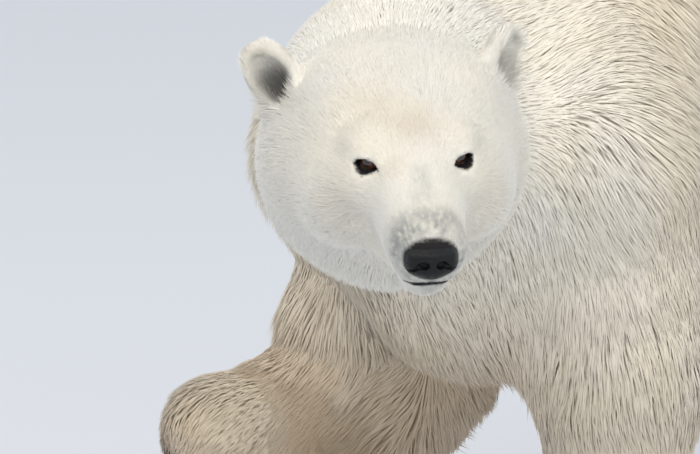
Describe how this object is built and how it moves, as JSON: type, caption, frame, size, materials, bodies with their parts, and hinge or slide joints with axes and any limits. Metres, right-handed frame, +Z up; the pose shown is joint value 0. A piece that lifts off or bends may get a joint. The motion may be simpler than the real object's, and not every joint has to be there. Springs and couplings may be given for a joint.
{
  "type": "polar bear",
  "caption": "Life-size polar bear, a still model in mid-stride with one forefoot lifted and its head turned to the side, standing on flat soles.",
  "frame": {"origin": "on the floor, at the bottom centre of the bounding box", "axes": "+Z up; the trunk lies along Y with the breast towards -Y and the tail towards +Y; +X is the animal's left, the side its head is turned to"},
  "size_m": [0.8214, 1.8662, 1.0688],
  "materials": {
    "coat": "matt cream guard hair, stained tan low on the legs and nearly white on the face",
    "nose_skin": "black pebbled skin with a damp sheen",
    "eye": "wet, dark brown, almost black",
    "claw": "dark horn, satin, lighter at the tip"
  },
  "bodies": {
    "root": {"trunk": "coat", "tail": "coat", "neck": "coat", "ear_right": "coat", "ear_left": "coat", "nose": "nose_skin", "eye_right": "eye", "eye_left": "eye", "head": "coat", "foreleg_left_upper": "coat", "foreleg_left_lower": "coat", "foreleg_left_paw": "coat", "foreleg_left_claw_1": "claw", "foreleg_left_claw_2": "claw", "foreleg_left_claw_3": "claw", "foreleg_left_claw_4": "claw", "foreleg_left_claw_5": "claw", "foreleg_right_upper": "coat", "foreleg_right_lower": "coat", "foreleg_right_paw": "coat", "foreleg_right_claw_1": "claw", "foreleg_right_claw_2": "claw", "foreleg_right_claw_3": "claw", "foreleg_right_claw_4": "claw", "foreleg_right_claw_5": "claw", "hindleg_left_thigh": "coat", "hindleg_left_shank": "coat", "hindleg_left_paw": "coat", "hindleg_left_claw_1": "claw", "hindleg_left_claw_2": "claw", "hindleg_left_claw_3": "claw", "hindleg_left_claw_4": "claw", "hindleg_left_claw_5": "claw", "hindleg_right_thigh": "coat", "hindleg_right_shank": "coat", "hindleg_right_paw": "coat", "hindleg_right_claw_1": "claw", "hindleg_right_claw_2": "claw", "hindleg_right_claw_3": "claw", "hindleg_right_claw_4": "claw", "hindleg_right_claw_5": "claw"}
  },
  "joints": []
}
